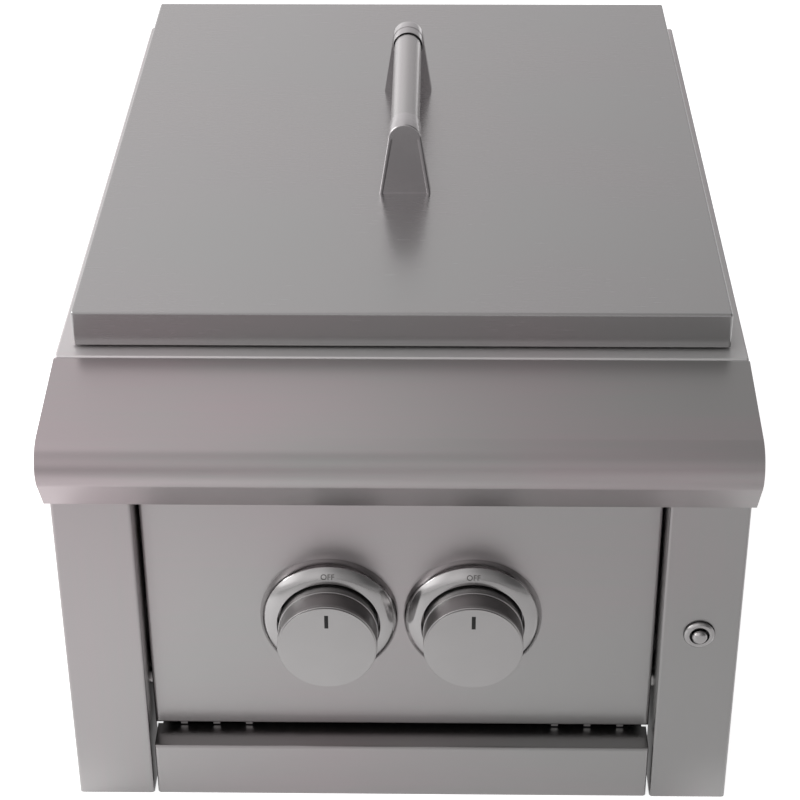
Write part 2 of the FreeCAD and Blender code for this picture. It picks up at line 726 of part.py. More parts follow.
def manifold():
    """Gas pipe under both valves, down the right side and back under the floor to the inlet."""
    start = (PANEL + SHEET_METAL + 24).value
    level = (KNOB_HEIGHT - MANIFOLD_DROP).value
    across, low = GAS_INLET
    outer, inner, bend = 8, 6, 22
    route = [(-75, start, level), (across, start, level), (across, start, low),
             (across, BODY_BACK + SHEET_METAL, low)]
    pipe = sweep_round(route, bend, outer).cut(sweep_round(route, bend, inner))
    for side in SIDES.values():
        seat = Part.makeCylinder(7, 20, VECTOR((KNOB_X * side).value, start, level + 4))
        pipe = pipe.cut(seat)
    tube_feature("manifold_pipe", pipe)


def manifold_cap():
    """Welded plug in the manifold's closed end."""
    cap = piece("manifold_end_cap")
    axis = (PANEL + SHEET_METAL + 24, KNOB_HEIGHT - MANIFOLD_DROP)
    add(cap, "YZ_Plane", [(axis, 9.5)], -79, -75)
    add(cap, "YZ_Plane", [(axis, 6)], -75, -66)


def gas_inlet():
    """Bulkhead nut with a flared male thread for the gas line."""
    body = piece("gas_inlet_fitting")
    inside = BODY_BACK + SHEET_METAL
    bore, thread, shoulder, tip = 3, 7.94, 8.5, BACK - 0.2
    outline = [
        (bore, inside), (shoulder, inside), (shoulder, inside + 2), (thread, inside + 2),
        (thread, tip - 1.6), (thread - 1.7, tip), (bore, tip),
    ]
    turn(body, outline, *GAS_INLET)
    across, low = GAS_INLET
    reach = 12.7
    angles = [math.radians(60 * step) for step in range(6)]
    hexagon = [(across + reach * math.cos(angle), low + reach * math.sin(angle)) for angle in angles]
    add(body, "XZ_Plane", [hexagon], BODY_BACK, BODY_BACK + 4)
    cut(body, "XZ_Plane", [(GAS_INLET, 8)], BODY_BACK - 1, inside)
    cut(body, "XZ_Plane", [(GAS_INLET, bore)], inside - 1, BODY_BACK + 5)


def orifice(side_name):
    """Small brass jet on the valve's nozzle."""
    body = piece(side_name + "_orifice")
    start = PANEL + SHEET_METAL + 43
    outline = [(1, start), (6.2, start), (6.2, start + 4), (4, start + 9), (0.8, start + 9), (0.8, start + 5),
               (1, start + 5)]
    turn(body, outline, KNOB_X * SIDES[side_name], KNOB_HEIGHT)


def mixing_tube(place_name):
    """Bent steel tube with a flared mouth from a jet to the underside of its burner."""
    side = SIDES[BURNER_KNOB[place_name]]
    across = (KNOB_X * side).value
    middle = BURNERS[place_name].value
    level = KNOB_HEIGHT.value
    mouth = (PANEL + SHEET_METAL + 47).value
    turning = middle - 72
    outer, inner = GAS_TUBE.value, GAS_TUBE.value - 1
    route = [(across, mouth, level), (across, turning, level), (0, middle, level),
             (0, middle, BURNER_PAN.value - 9)]
    tube = sweep_round(route, 24, outer).cut(sweep_round(route, 24, inner))
    flare = Part.makeCone(outer + 3, outer, 9, VECTOR(across, mouth, level), VECTOR(0, 1, 0))
    flare_bore = Part.makeCone(inner + 3, inner, 9, VECTOR(across, mouth, level), VECTOR(0, 1, 0))
    tube_feature(place_name + "_mixing_tube", tube.fuse(flare).cut(flare_bore).removeSplitter())


def burner(place_name):
    """Cast burner bowl with a ring of flame ports, its stem over the mixing tube."""
    body = piece(place_name + "_burner")
    middle = BURNERS[place_name]
    low = BURNER_PAN - 14
    outline = [
        (GAS_TUBE, low), (14, low), (14, BURNER_PAN), (24, BURNER_PAN), (24, BURNER_PAN + 3),
        (17, BURNER_PAN + 4), (43, BURNER_PAN + 20), (44, BURNER_PAN + 32), (40, BURNER_PAN + 32),
        (39, BURNER_PAN + 22), (GAS_TUBE, BURNER_PAN + 6),
    ]
    bowl = turn(body, outline, 0, middle, upright=True)
    screws = [((BURNER_SCREW * turned, middle), 1.6) for turned in (-1, 1)]
    cut(body, "XY_Plane", screws, BURNER_PAN - 1, BURNER_PAN + 2.8)
    slot = box_outline(37, middle - 1.2, 47, middle + 1.2)
    port = cut(body, "XY_Plane", [slot], BURNER_PAN + 26, BURNER_PAN + 33)
    around(body, port, bowl, 24)


def burner_cap(place_name):
    """Domed cap that sits in the bowl's rim."""
    body = piece(place_name + "_burner_cap")
    base = BURNER_PAN + 32
    outline = [
        (0, base), (36.5, base), (36.5, base - 4), (39.6, base - 4), (39.8, base), (47, base),
        (47, base + 2), (40, base + 6), (14, base + 8.5), (0, base + 8.5),
    ]
    turn(body, outline, 0, BURNERS[place_name], upright=True)


def electrode(place_name):
    """Ceramic igniter pin with a wire tip that points at the burner's ports."""
    node = place_name + "_electrode"
    middle = BURNERS[place_name].value
    group = DOC.addObject("Part::Compound", node)
    group.Label = node
    foot = BURNER_PAN.value - 18
    stick = round_bar(node + "_ceramic", (52, middle, foot), (0, 0, 1), 3, 46)
    collar = round_bar(node + "_collar", (52, middle, BURNER_PAN.value + 0.05), (0, 0, 1), 5, 4)
    tip = round_bar(node + "_tip", (52, middle, foot + 46), (-0.45, 0, 0.9), 0.9, 6)
    group.Links = [fused(node + "_pin", [stick, collar, tip])]
    DOC.recompute()
    NODES.append(group)


# Igniter button

def button_gasket():
    """Thin washer between the button's ring and the stile."""
    body = piece("button_gasket")
    front = FRONT - GASKET
    outline = [(6.5, front), (9, front), (9, FRONT), (6.5, FRONT)]
    turn(body, outline, BUTTON_OFFSET, BUTTON_HEIGHT)


def button_ring():
    """Chromed ring with a rounded collar and a lip that keeps the button in."""
    body = piece("button_ring")
    collar, bore, lip, guide, shank = 8.3, 5.7, 4.5, 5.1, 6.4
    front, step, shelf, end = FRONT - 3.1, FRONT - 0.5, FRONT + 1, FRONT + 6
    outline = [
        (guide, end), (guide, shelf), (lip, shelf), (lip, step), (bore, step), (bore, front),
        (collar, front), (collar, FRONT - GASKET), (shank, FRONT - GASKET), (shank, end),
    ]
    turned = turn(body, outline, BUTTON_OFFSET, BUTTON_HEIGHT)
    soften(body, turned, level_edges(turned, "Y", front), 1.1)


def igniter_housing():
    """Spark unit barrel behind the stile."""
    body = piece("igniter_housing")
    start = FRONT + SHEET_METAL
    outline = [
        (6.5, start), (8, start), (8, start + 3), (7.5, start + 3), (7.5, start + 40), (5.5, start + 42),
        (0, start + 42), (0, start + 12), (5.2, start + 12), (5.2, start + 4.8), (6.5, start + 4.8),
    ]
    turn(body, outline, BUTTON_OFFSET, BUTTON_HEIGHT)


def push_button():
    """Domed button with a flange that stops behind the ring's lip."""
    body = piece("push_button")
    cap, flange = 4.4, 5.0
    front, shelf, step, back = FRONT - 5, FRONT + 1.1, FRONT + 3, FRONT + 8
    outline = [
        (0, front), (cap - 1.2, front + 0.4), (cap, front + 1.6), (cap, shelf), (flange, shelf),
        (flange, step), (cap, step), (cap, back), (0, back),
    ]
    turn(body, outline, BUTTON_OFFSET, BUTTON_HEIGHT)


# Rails, grate and tray

def grate_rail(side_name):
    """Angle on the side wall that carries the cooking grate."""
    side = SIDES[side_name]
    body = piece(side_name + "_grate_rail")
    wall = BODY_INNER * side
    ledge = (BODY_INNER - 24) * side
    top = DECK_TOP - 5
    front, back = CENTRE - 205, CENTRE + 205
    shape = [
        (wall, top - 22), (wall, top), (ledge, top), (ledge, top - SHEET_METAL),
        (wall - SHEET_METAL * side, top - SHEET_METAL), (wall - SHEET_METAL * side, top - 22),
    ]
    add(body, "XZ_Plane", [shape], front, back)


def cooking_grate():
    """Welded rod grate: two side rods on the rails under a row of cross bars."""
    node = "cooking_grate"
    radius = GRATE_ROD
    half = 161
    low = DECK_TOP - 5 + radius
    front, back = CENTRE - 208, CENTRE + 208
    length = back - front
    rods = []
    for side in (-1, 1):
        start = (half * side, front, low)
        rods.append(round_bar("grate_side_%d" % (side + 1), start, (0, 1, 0), radius, length))
    count = 13
    for step in range(count):
        along = front + 8 + (length - 16) * (step / (count - 1.0))
        rods.append(
            round_bar("grate_bar_%d" % step, (-half - 4, along, low + 6.4), (1, 0, 0), radius, 2 * half + 8)
        )
    grate = fused(node, rods)
    grate.Label = node
    DOC.recompute()
    NODES.append(grate)


def tray_rail(side_name):
    """Folded rail under the floor that carries the tray's rolled edge."""
    side = SIDES[side_name]
    body = piece(side_name + "_tray_rail")
    thick = SHEET_METAL
    inner, wall, outer = size(141.6) * side, size(147.2) * side, size(154) * side
    low, high = TRAY_RIM - 2 * SHEET_METAL - 0.05, FLOOR
    shape = [
        (inner, low), (wall, low), (wall, high - thick), (outer, high - thick), (outer, high),
        (wall - thick * side, high), (wall - thick * side, low + thick), (inner, low + thick),
    ]
    add(body, "XZ_Plane", [shape], BAFFLE - 11, BODY_BACK - 4)


def drip_tray():
    """Folded pan with welded corners and an outward edge that slides on the rails."""
    body = piece("drip_tray")
    half, low, top = 140, 5, TRAY_RIM
    front, back = FRONT + SHEET_METAL, FRONT + 468
    corner, bend = 4, 1.8
    add(body, "XY_Plane", [wide(half, front, back)], low, top)
    inner = wide(half - SHEET_METAL, front + SHEET_METAL, back - SHEET_METAL)
    hollow = cut(body, "XY_Plane", [inner], low + SHEET_METAL, top + 1)
    inside = edges(hollow, "z", x=both(half - SHEET_METAL))
    rounded = soften(body, hollow, inside, corner - SHEET_METAL)
    rounded = soften(body, rounded, level_edges(rounded, "Z", low + SHEET_METAL), bend - SHEET_METAL)
    rounded = soften(body, rounded, edges(rounded, "z", x=both(half)), corner)
    soften(body, rounded, level_edges(rounded, "Z", low), bend)
    edge_inner, edge_outer = half - SHEET_METAL, 144
    sliding = [box_outline(edge_inner * side, front + 10, edge_outer * side, back) for side in SIDES.values()]
    add(body, "XY_Plane", sliding, top - SHEET_METAL, top)


def tray_front():
    """Visible tray front: a folded plate with side folds and a deep top ledge to pull it by."""
    body = piece("tray_front")
    half, low, top = 146.4, 0.3, TRAY_HEIGHT
    ledge, side_fold = FRONT + 21, FRONT + 13
    block = add(body, "XZ_Plane", [wide(half, low, top)], FRONT, ledge)
    folds = edges(block, "x", z=(top,), y=(FRONT,)) + edges(block, "z", x=both(half), y=(FRONT,))
    soften(body, block, folds, BEND)
    inside = wide(half - SHEET_METAL, low - 1, top - SHEET_METAL)
    cut(body, "XZ_Plane", [inside], FRONT + SHEET_METAL, ledge + 1)
    under_ledge = wide(half + 1, low - 1, top - SHEET_METAL)
    cut(body, "XZ_Plane", [under_ledge], side_fold, ledge + 1)


# Lid and handle

def lid_shell():
    """Shallow folded pan, open below, with a turned-in lower edge."""
    body = piece("lid_shell")
    half = LID_WIDTH / 2
    block = add(body, "XY_Plane", [wide(half, LID_FRONT, LID_BACK)], LID_BASE, LID_TOP)
    corners = soften(body, block, edges(block, "z", y=(LID_FRONT, LID_BACK)), 1.5)
    soften(body, corners, level_edges(corners, "Z", LID_TOP), BEND - 0.6)
    inner = wide(half - SHEET_METAL, LID_FRONT + SHEET_METAL, LID_BACK - SHEET_METAL)
    cut(body, "XY_Plane", [inner], LID_BASE - 1, LID_TOP - SHEET_METAL)
    mouth = wide(half - 9, LID_FRONT + 9, LID_BACK - 9)
    add(body, "XY_Plane", [inner, mouth], LID_BASE, LID_BASE + SHEET_METAL)
    holes = [((across, along), 2.6) for across, along in handle_screw_points()]
    cut(body, "XY_Plane", holes, LID_TOP - 3, LID_TOP + 1)


def handle_screw_points():
    near = CENTRE - HANDLE_SPAN / 2 + 4.6
    far = CENTRE + HANDLE_SPAN / 2 - 4.6
    return [(across, along) for along in (near, far) for across in (-8, 8)]


def handle_bracket(name, facing):
    """Cast end of the handle: a tapered post whose top is a socket for the tube."""
    body = piece(name)
    outside = CENTRE + HANDLE_SPAN / 2 * facing
    inside = outside - 9.2 * facing
    mouth = inside - 9.5 * facing
    foot, shoulder = 15.7, 10.1
    low, axis = LID_TOP, HANDLE_AXIS
    post = [
        (-foot, low), (foot, low), (shoulder + 0.35, axis - 4), (shoulder, axis),
        (-shoulder, axis), (-shoulder - 0.35, axis - 4),
    ]
    add(body, "XZ_Plane", [post], outside, inside)
    top = add(body, "XZ_Plane", [((0, axis), shoulder)], outside, mouth)
    foot_line = level_edges(top, "Z", low)
    rim = [name for name in level_edges(top, "Y", outside) if name not in foot_line]
    soften(body, top, rim, 1.3, "Chamfer")
    cut(body, "XZ_Plane", [((0, axis), TUBE_RADIUS)], inside, mouth)
    taps = [((across, (outside + inside) / 2), 2.0) for across in (-8, 8)]
    cut(body, "XY_Plane", taps, low - 1, low + 12)


def handle_tube():
    """Straight hollow grip between the two sockets."""
    body = piece("handle_tube")
    reach = HANDLE_SPAN / 2 - 9.2
    outline = [((0, HANDLE_AXIS), TUBE_RADIUS)]
    add(body, "XZ_Plane", outline, CENTRE - reach, CENTRE + reach)
    cut(body, "XZ_Plane", [((0, HANDLE_AXIS), TUBE_RADIUS - 1.5)], CENTRE - reach - 1, CENTRE + reach + 1)


def lid_bumpers():
    """Soft pads under the lid's lower edge that keep it off the deck."""
    node = "lid_bumpers"
    group = DOC.addObject("Part::Compound", node)
    group.Label = node
    pads = []
    for side in (-1, 1):
        for number, along in enumerate((LID_FRONT + 30, LID_BACK - 30)):
            spot = ((LID_WIDTH / 2 - 5) * side, along, DECK_TOP)
            pads.append(round_bar("%s_%d_%d" % (node, side + 1, number), spot, (0, 0, 1), 3.4, LID_GAP))
    group.Links = pads
    DOC.recompute()
    NODES.append(group)


def all_fasteners():
    """Every screw group; each screw passes through the holes it holds."""
    wall = PANEL + SHEET_METAL
    turns = [(side, turned) for side in SIDES.values() for turned in (-1, 1)]
    points = [(KNOB_X * side + BEZEL_SCREW * turned, wall, KNOB_HEIGHT) for side, turned in turns]
    fasteners("bezel_screws", points, (0, -1, 0), 1.9, 5.5, 3.6, 2.4)
    points = [(KNOB_X * side, PANEL, KNOB_HEIGHT + VALVE_SCREW * turned) for side, turned in turns]
    fasteners("valve_screws", points, (0, 1, 0), 1.5, 4, 3, 2)
    under = BURNER_PAN - SHEET_METAL
    points = [(BURNER_SCREW * turned, middle, under) for middle in BURNERS.values() for turned in (-1, 1)]
    fasteners("burner_screws", points, (0, 0, 1), 1.5, 3.8, 3, 2)
    points = [(across, HOOD_BACK - SHEET_METAL, height) for across, height in HOOD_SCREWS]
    fasteners("hood_screws", points, (0, 1, 0), 1.9, 6, 3.6, 2.4)
    points = [(across, along, LID_TOP - SHEET_METAL) for across, along in handle_screw_points()]
    fasteners("handle_screws", points, (0, 0, 1), 1.9, 10, 4.4, 2.6)
    points = [((STILE_INNER + SHEET_METAL) * side, along, height)
              for side in SIDES.values() for along, height in PANEL_SCREWS]
    inwards = [(-side, 0, 0) for side in SIDES.values() for _ in PANEL_SCREWS]
    fasteners("panel_screws", points, inwards, 1.9, 5.4, 3.6, 2.4)


def make_everything():
    body_wrap()
    front_baffle()
    floor_pan()
    burner_pan()
    deck_rim()
    front_hood()
    control_panel()
    for side_name in SIDES:
        stile(side_name)
        bezel(side_name)
        valve(side_name)
        valve_plug(side_name)
        valve_stem(side_name)
        knob_body(side_name)
        knob_cap(side_name)
        orifice(side_name)
        grate_rail(side_name)
        tray_rail(side_name)
    manifold()
    manifold_cap()
    gas_inlet()
    for place_name in BURNERS:
        mixing_tube(place_name)
        burner(place_name)
        burner_cap(place_name)
        electrode(place_name)
    button_gasket()
    button_ring()
    igniter_housing()
    push_button()
    cooking_grate()
    drip_tray()
    tray_front()
    lid_shell()
    handle_bracket("handle_front_bracket", -1)
    handle_bracket("handle_rear_bracket", 1)
    handle_tube()
    lid_bumpers()
    all_fasteners()


def check_and_write():
    """Stop on any failed feature or bad solid, then write one STEP file for each piece."""
    DOC.recompute()
    for thing in DOC.Objects:
        if "Invalid" in thing.State or "Error" in thing.State:
            raise RuntimeError("failed: " + thing.Name)
    for thing in NODES:
        if not thing.Shape.isValid() or thing.Shape.Volume < 1:
            raise RuntimeError("bad shape: " + thing.Label)
    os.makedirs("parts", exist_ok=True)
    for thing in NODES:
        thing.Shape.exportStep("parts/%s.step" % thing.Label)
        box = thing.Shape.BoundBox
        print("%-22s %2d solids  y %.1f to %.1f  z %.1f to %.1f" % (
            thing.Label, len(thing.Shape.Solids), box.YMin, box.YMax, box.ZMin, box.ZMax))


make_everything()
check_and_write()
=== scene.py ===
# %% [markdown]
# # A built-in side burner, dressed in Blender
# The burner is a folded stainless steel box that drops into a stone counter. Its solids come
# packed from the workshop model, so every piece is already at its real size and place. This
# lesson gives each surface its finish, models the turned, knurled and cast pieces finely, and
# sets a plain studio round them. Blender works in metres, and +Z is up.

# %% Load the frame
import bpy
import bmesh
import json
import math
from mathutils import Matrix, Vector


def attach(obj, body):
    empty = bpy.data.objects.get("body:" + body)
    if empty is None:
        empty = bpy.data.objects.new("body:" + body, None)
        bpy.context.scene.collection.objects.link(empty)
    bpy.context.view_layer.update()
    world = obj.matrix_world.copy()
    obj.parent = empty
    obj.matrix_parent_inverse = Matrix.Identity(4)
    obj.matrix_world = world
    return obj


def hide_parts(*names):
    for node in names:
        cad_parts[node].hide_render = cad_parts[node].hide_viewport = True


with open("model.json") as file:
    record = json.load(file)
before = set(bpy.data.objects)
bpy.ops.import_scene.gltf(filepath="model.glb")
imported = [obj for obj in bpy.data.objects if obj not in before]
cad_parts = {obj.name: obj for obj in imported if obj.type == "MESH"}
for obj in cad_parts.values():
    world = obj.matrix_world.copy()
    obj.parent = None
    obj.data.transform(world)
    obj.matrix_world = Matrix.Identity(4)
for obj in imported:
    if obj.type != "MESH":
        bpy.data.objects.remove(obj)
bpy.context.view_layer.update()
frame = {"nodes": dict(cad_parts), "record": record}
NODES = frame["nodes"]
MM = 0.001
print("pieces in the frame:", len(NODES))

# %% [markdown]
# Brushed steel is mostly a matter of small variations: fine parallel scratches change how
# rough the surface is, and slow patches shift its tone. That takes sums of noise textures. A
# small class that wraps a node's socket lets those sums be written as plain expressions.

# %% A socket that can be added and multiplied


class Level:
    """A number that varies over a surface: an output socket with arithmetic."""

    def __init__(self, maker, socket):
        self.maker = maker
        self.socket = socket

    def combine(self, operation, first, second):
        return self.maker.level("ShaderNodeMath", {"operation": operation}, {0: first, 1: second})

    def __add__(self, other):
        return self.combine("ADD", self, other)

    def __radd__(self, other):
        return self.combine("ADD", other, self)

    def __sub__(self, other):
        return self.combine("SUBTRACT", self, other)

    def __rsub__(self, other):
        return self.combine("SUBTRACT", other, self)

    def __mul__(self, other):
        return self.combine("MULTIPLY", self, other)

    def __rmul__(self, other):
        return self.combine("MULTIPLY", other, self)


class Maker:
    """Adds nodes to one node tree."""

    def __init__(self, tree):
        self.tree = tree
        self.place = self.add("ShaderNodeTexCoord")

    def add(self, kind, settings=None, values=None):
        """Add a node: its settings first, then the values or links of its sockets."""
        node = self.tree.nodes.new(kind)
        for name, value in (settings or {}).items():
            if name == "stops":
                set_stops(node.color_ramp, value)
            else:
                setattr(node, name, value)
        for name, value in (values or {}).items():
            self.feed(node.inputs[name], value)
        return node

    def feed(self, socket, value):
        if isinstance(value, Level):
            value = value.socket
        if isinstance(value, bpy.types.NodeSocket):
            self.tree.links.new(value, socket)
        else:
            socket.default_value = value

    def level(self, kind, settings=None, values=None, output=0):
        return Level(self, self.add(kind, settings, values).outputs[output])

    def axes(self, name):
        """The three numbers of a coordinate, such as Object or Generated."""
        split = self.add("ShaderNodeSeparateXYZ", None, {0: self.place.outputs[name]})
        return [Level(self, output) for output in split.outputs]

    def rise(self, level, low, high):
        """Zero below low, one above high, with a soft step between them."""
        return self.level("ShaderNodeMapRange", {"interpolation_type": "SMOOTHSTEP"}, {
            "Value": level,
            "From Min": low,
            "From Max": high,
        })


def set_stops(ramp, stops):
    """A ramp's stops as (position, colour) pairs."""
    while len(ramp.elements) < len(stops):
        ramp.elements.new(0.5)
    for element, (position, colour) in zip(ramp.elements, stops):
        element.position = position
        element.color = (*colour, 1)


class Finish(Maker):
    """One material whose shader's sockets are set or fed."""

    def __init__(self, name):
        self.material = bpy.data.materials.new(name)
        self.material.use_nodes = True
        self.material.node_tree.nodes.clear()
        super().__init__(self.material.node_tree)
        self.shader = self.add("ShaderNodeBsdfPrincipled")
        self.out = self.add("ShaderNodeOutputMaterial")
        self.feed(self.out.inputs["Surface"], self.shader.outputs[0])

    def noise(self, stretch, scale, detail=2.0, shift=(0, 0, 0)):
        """Noise on the piece's own coordinates, stretched by three factors."""
        mapped = self.add("ShaderNodeMapping", None, {
            "Vector": self.place.outputs["Object"],
            "Location": shift,
            "Scale": stretch,
        })
        return self.level("ShaderNodeTexNoise", None, {
            "Vector": mapped.outputs[0],
            "Scale": scale,
            "Detail": detail,
        })

    def ramp(self, level, stops):
        return self.add("ShaderNodeValToRGB", {"stops": stops}, {0: level}).outputs[0]

    def bump(self, height, strength, distance):
        node = self.add("ShaderNodeBump", None, {
            "Height": height,
            "Strength": strength,
            "Distance": distance,
        })
        self.feed(self.shader.inputs["Normal"], node.outputs[0])

    def set(self, **values):
        """Set sockets of the shader; an underscore in a name stands for a space."""
        for name, value in values.items():
            self.feed(self.shader.inputs[name.replace("_", " ")], value)


# %% [markdown]
# Brushed stainless is rubbed with a belt in one direction before the sheet is folded. The
# grain shows as fine lines that run far one way and change fast the other way, which is noise
# on coordinates that are squeezed along the lines. It is faint: from a step away the sheet
# looks smooth, with slow patches that pull the grey a little towards pink or a warm brown. The
# scratches also feed a very shallow bump, which spreads the reflections across the grain. The
# deck's rim is duller than the other sheets, and its grey is painted paler, as painted light
# that lifts the strip of it which lies in the lid's shade. The lid is the smoothest.

# %% Sheet metal finishes
ALONG = {
    "x": (2, 90, 90),
    "y": (90, 2, 90),
    "z": (90, 90, 2),
}
EVEN = (1, 1, 1)


def brushed(name, along, grey, roughness=0.3, scratch=0.03, patch=0.02):
    """Brushed stainless with its grain along one axis, round one mean grey."""
    metal = Finish(name)
    fine = metal.noise(ALONG[along], scale=26, detail=3)
    streaks = metal.noise(ALONG[along], scale=2.6, shift=(3, 1, 2))
    patches = metal.noise(EVEN, scale=6, detail=1.5, shift=(0.4, 0.2, 0.7))
    mix = fine * 0.2 + streaks * 0.15 + patches * 0.65
    pink = (grey + patch, grey - patch * 0.9, grey - patch * 0.4)
    warm = (grey - patch * 0.3, grey - patch * 0.5, grey - patch * 0.6)
    metal.set(Base_Color=metal.ramp(mix, [(0.4, warm), (0.6, pink)]), Metallic=1.0)
    metal.set(Roughness=roughness - 0.05 + fine * 0.07 + patches * 0.03)
    metal.bump(fine * 0.7 + streaks * 0.3, scratch, 0.0003)
    return metal.material


SHEETS = {
    "across": brushed("stainless_grain_across", "x", 0.44),
    "upright": brushed("stainless_grain_upright", "z", 0.44),
    "hood": brushed("stainless_hood", "x", 0.45, patch=0.032),
    # The deck's grey of 0.7 is painted light: it lifts the strip of the rim that lies in the lid's
    # shade.
    "deck": brushed("stainless_deck_painted_light", "x", 0.7, roughness=0.55),
    "lid": brushed("stainless_lid", "x", 0.45, roughness=0.26, scratch=0.012, patch=0.008),
    "tube": brushed("stainless_tube", "y", 0.5, roughness=0.24, scratch=0.02, patch=0.01),
    "inner": brushed("stainless_inner", "y", 0.48, roughness=0.4, scratch=0.05),
}
print("sheet finishes:", ", ".join(SHEETS))

# %% [markdown]
# The trim is different: the bezels, the handle's ends and the button's ring are die-cast and
# polished, so they mirror the room sharply. Slight waviness keeps the reflections from looking
# computed. The knobs are turned and satin, the burners are cast brass with a grainy skin.

# %% Trim, brass and small parts
RINGS_PER_METRE = 2600


def polished(name, grey, roughness=0.12, wave=0.04):
    """Die-cast and polished: sharp reflections on a slightly wavy skin."""
    trim = Finish(name)
    ripple = trim.noise(EVEN, scale=90)
    stain = trim.noise(EVEN, scale=30, detail=3, shift=(2, 5, 1))
    dark = tuple(channel * 0.94 for channel in grey)
    trim.set(Base_Color=trim.ramp(stain, [(0.35, dark), (0.65, grey)]), Metallic=1.0)
    trim.set(Roughness=roughness + ripple * 0.06)
    trim.bump(ripple, wave, 0.0006)
    return trim.material


def satin(name, grey, centre, roughness=0.3):
    """Turned and satined: faint rings round the knob's own axis."""
    metal = Finish(name)
    across, deep, upright = metal.axes("Object")
    out_x, out_z = across - centre[0], upright - centre[1]
    reach = metal.level("ShaderNodeMath", {"operation": "SQRT"}, {0: out_x * out_x + out_z * out_z})
    rings = metal.level("ShaderNodeTexNoise", {"noise_dimensions": "1D"}, {
        "W": reach * RINGS_PER_METRE,
        "Scale": 1.0,
        "Detail": 2.0,
    })
    cloud = metal.noise(EVEN, scale=40)
    dark = tuple(channel * 0.95 for channel in grey)
    metal.set(Base_Color=metal.ramp(rings * 0.4 + cloud * 0.6, [(0.35, dark), (0.65, grey)]))
    metal.set(Metallic=1.0, Roughness=roughness + cloud * 0.08)
    metal.bump(rings, 0.02, 0.0002)
    return metal.material


def cast(name, dark, light, roughness, grain=400):
    """Sand-cast: a grainy skin with stains."""
    skin = Finish(name)
    grains = skin.noise(EVEN, scale=grain, detail=4)
    stains = skin.noise(EVEN, scale=18, detail=3)
    skin.set(Base_Color=skin.ramp(grains * 0.4 + stains * 0.6, [(0.35, dark), (0.65, light)]))
    skin.set(Metallic=1.0, Roughness=roughness + stains * 0.2)
    skin.bump(grains, 0.25, 0.0003)
    return skin.material


def moulded(name, colour, roughness, grain=900):
    """Rubber, plastic or glaze: a dull skin with fine pores."""
    skin = Finish(name)
    pores = skin.noise(EVEN, scale=grain)
    light = tuple(channel * 1.25 + 0.004 for channel in colour)
    skin.set(Base_Color=skin.ramp(pores, [(0.3, colour), (0.7, light)]))
    skin.set(Roughness=roughness + pores * 0.15)
    skin.bump(pores, 0.1, 0.0002)
    return skin.material


KNOB_X = 41.4
KNOB_Z = 122.6
SIDES = {"left": -1, "right": 1}
CENTRES = {side: (KNOB_X * sign * MM, KNOB_Z * MM) for side, sign in SIDES.items()}
POLISHED = polished("polished_trim", (0.52, 0.51, 0.51))
CAST_POST = polished("cast_post", (0.54, 0.52, 0.53), roughness=0.18)
SATIN = {side: satin(side + "_satin_knob", (0.5, 0.49, 0.49), CENTRES[side]) for side in SIDES}
BRASS = cast("cast_brass", (0.32, 0.22, 0.1), (0.55, 0.4, 0.19), 0.35)
CERAMIC = moulded("ceramic", (0.75, 0.72, 0.65), 0.25, grain=300)
SILICONE = moulded("silicone", (0.015, 0.015, 0.015), 0.6)
BLACK_PLASTIC_AND_PAINTED_SHADE = moulded("black_plastic", (0.02, 0.02, 0.022), 0.4)
ETCHED = moulded("etched_mark", (0.11, 0.105, 0.1), 0.5)
ENAMEL = moulded("black_enamel", (0.006, 0.006, 0.006), 0.55)
print("materials so far:", len(bpy.data.materials))

# %% [markdown]
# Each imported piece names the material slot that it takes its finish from, and the sheets that
# show most have a finish of their own. The grain follows how the sheet was cut: across on the
# lid, hood, deck, panel and tray, upright on the two posts at the sides of the panel, and from
# front to back on the handle's tube and on the sheets inside.

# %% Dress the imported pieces
BY_SLOT = {
    "brushed_stainless": SHEETS["across"],
    "plain_stainless": SHEETS["inner"],
    "polished_trim": POLISHED,
    "cast_brass": BRASS,
    "ceramic": CERAMIC,
    "soft_pad": SILICONE,
    "black_plastic": BLACK_PLASTIC_AND_PAINTED_SHADE,
}
BY_NODE = {
    "lid_shell": SHEETS["lid"],
    "front_hood": SHEETS["hood"],
    "deck_rim": SHEETS["deck"],
    "left_stile": SHEETS["upright"],
    "right_stile": SHEETS["upright"],
    "handle_tube": SHEETS["tube"],
    "left_knob_body": SATIN["left"],
    "left_knob_cap": SATIN["left"],
    "right_knob_body": SATIN["right"],
    "right_knob_cap": SATIN["right"],
}


def dress(piece, material):
    piece.data.materials.clear()
    piece.data.materials.append(material)


for part in frame["record"]["subparts"]:
    node = part["node"]
    material = BY_NODE.get(node) or BY_SLOT[part["material_slot"]]
    dress(NODES[node], material)

# %% [markdown]
# Bezels, knobs and the push button are turned pieces. On a lathe the shape is one outline
# that goes round an axis, and spin does the same here: the outline is a few points of radius
# and distance, its corners are rounded with a vertex bevel, and the spin closes on itself. An
# outline that starts and ends on the axis is left open, and any other is closed.

# %% Turn an outline round an axis
MERGE = 1e-6


def soften(shape, geom, radius, segments, affect="EDGES"):
    """Round some edges, or some corners of an outline, to a radius in millimetres."""
    bmesh.ops.bevel(
        shape,
        geom=geom,
        offset=radius * MM,
        offset_type="OFFSET",
        segments=segments,
        profile=0.5,
        affect=affect,
        material=-1,
    )


